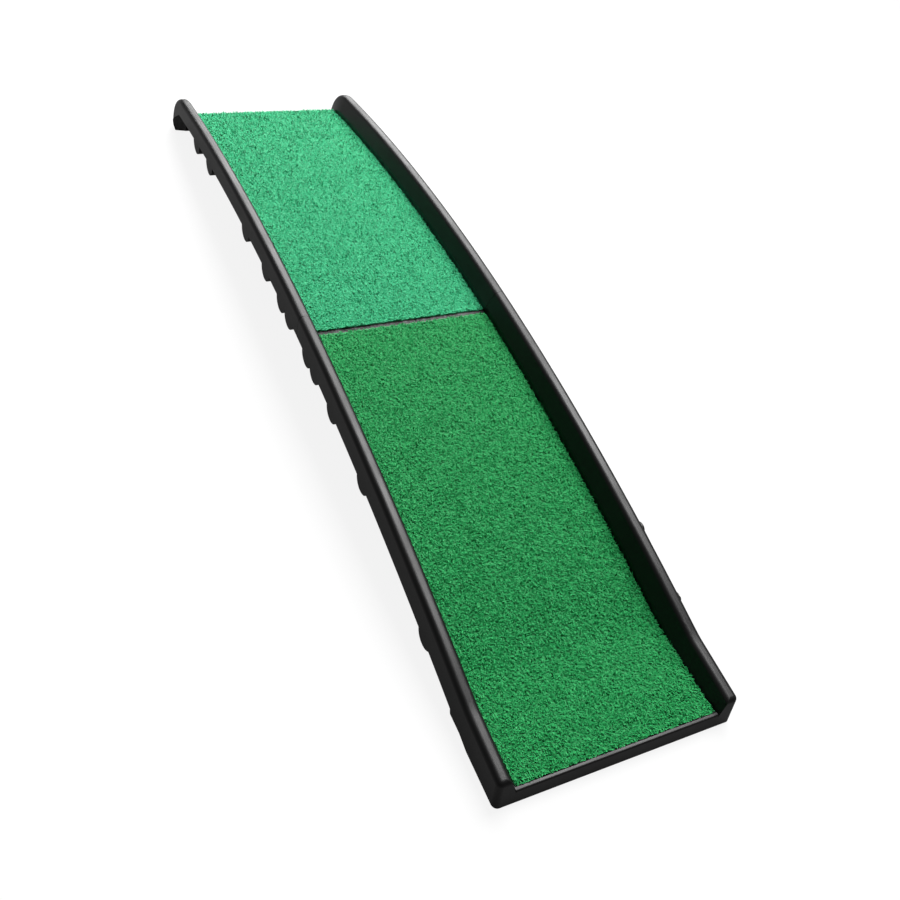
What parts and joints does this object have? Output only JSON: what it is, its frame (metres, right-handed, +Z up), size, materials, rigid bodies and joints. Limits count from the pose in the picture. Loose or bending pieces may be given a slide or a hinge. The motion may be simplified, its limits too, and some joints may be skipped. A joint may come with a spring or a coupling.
{
  "type": "dog ramp",
  "caption": "Folding arched dog ramp with grass-covered walkway, raised side rails, hinged middle, rubber feet and a side latch.",
  "frame": {"origin": "middle of the ramp's footprint, on the floor it rests on", "axes": "+X along the ramp from the ground end towards the vehicle end, +Y towards its left side, +Z up from the floor, with the ramp open as a shallow arch"},
  "size_m": [1.8136, 0.4396, 0.1573],
  "materials": {
    "black_plastic": "blow-moulded polyethylene with a fine matt grain",
    "green_turf": "short curly artificial grass",
    "black_rubber": "moulded matt rubber",
    "zinc_steel": "bright zinc plate",
    "nylon": "natural moulded nylon"
  },
  "bodies": {
    "lower_half": {"lower_deck": "black_plastic", "lower_turf": "green_turf", "ground_pad_left": "black_rubber", "ground_pad_right": "black_rubber", "ground_pad_screws": "zinc_steel", "hinge_rod": "zinc_steel", "hinge_washers": "nylon", "push_nut_left": "zinc_steel", "push_nut_right": "zinc_steel", "latch_washer": "nylon", "latch_pivot_screw": "zinc_steel"},
    "upper_half": {"upper_deck": "black_plastic", "upper_turf": "green_turf", "vehicle_foot_left": "black_rubber", "vehicle_foot_right": "black_rubber", "vehicle_foot_screws": "zinc_steel", "hinge_bushes": "nylon", "latch_keeper": "zinc_steel"},
    "latch": {"latch_lever": "black_plastic"}
  },
  "joints": [
    {"name": "fold", "type": "hinge", "parent": "lower_half", "child": "upper_half", "pos_m": [-0.01214, 0.0048, 0.08821], "axis": [0, 1, 0], "range_deg": [0, 167]},
    {"name": "latch_swing", "type": "hinge", "parent": "lower_half", "child": "latch", "pos_m": [-0.70491, -0.214, 0.05354], "axis": [0, 1, 0], "range_deg": [0, 92.3]}
  ]
}
